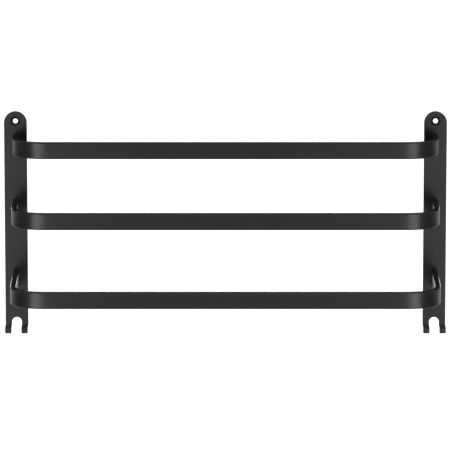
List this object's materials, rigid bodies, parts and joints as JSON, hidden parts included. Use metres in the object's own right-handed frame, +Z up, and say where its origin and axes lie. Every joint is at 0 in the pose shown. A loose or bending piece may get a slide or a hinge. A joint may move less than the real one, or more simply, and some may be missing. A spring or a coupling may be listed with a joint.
{
  "type": "wall-mounted rail rack",
  "caption": "Wall rack with flat-bar rails that stand further out the lower they are, on flat uprights with forked lower ends.",
  "frame": {"origin": "on the wall plane, midway between the two upper wall-screw holes", "axes": "+X to the viewer's right along the rails, -Y out from the wall, +Z up"},
  "size_m": [0.5816, 0.158, 0.2965],
  "materials": {
    "black_coating": "satin black powder coat",
    "screw_zinc": "bright zinc plate"
  },
  "bodies": {
    "root": {"upright_left": "black_coating", "upright_right": "black_coating", "rail_top": "black_coating", "rail_middle": "black_coating", "rail_bottom": "black_coating", "rail_screw_top_left_upper": "screw_zinc", "rail_screw_top_left_lower": "screw_zinc", "rail_screw_top_right_upper": "screw_zinc", "rail_screw_top_right_lower": "screw_zinc", "rail_screw_middle_left_upper": "screw_zinc", "rail_screw_middle_left_lower": "screw_zinc", "rail_screw_middle_right_upper": "screw_zinc", "rail_screw_middle_right_lower": "screw_zinc", "rail_screw_bottom_left_upper": "screw_zinc", "rail_screw_bottom_left_lower": "screw_zinc", "rail_screw_bottom_right_upper": "screw_zinc", "rail_screw_bottom_right_lower": "screw_zinc"}
  },
  "joints": []
}
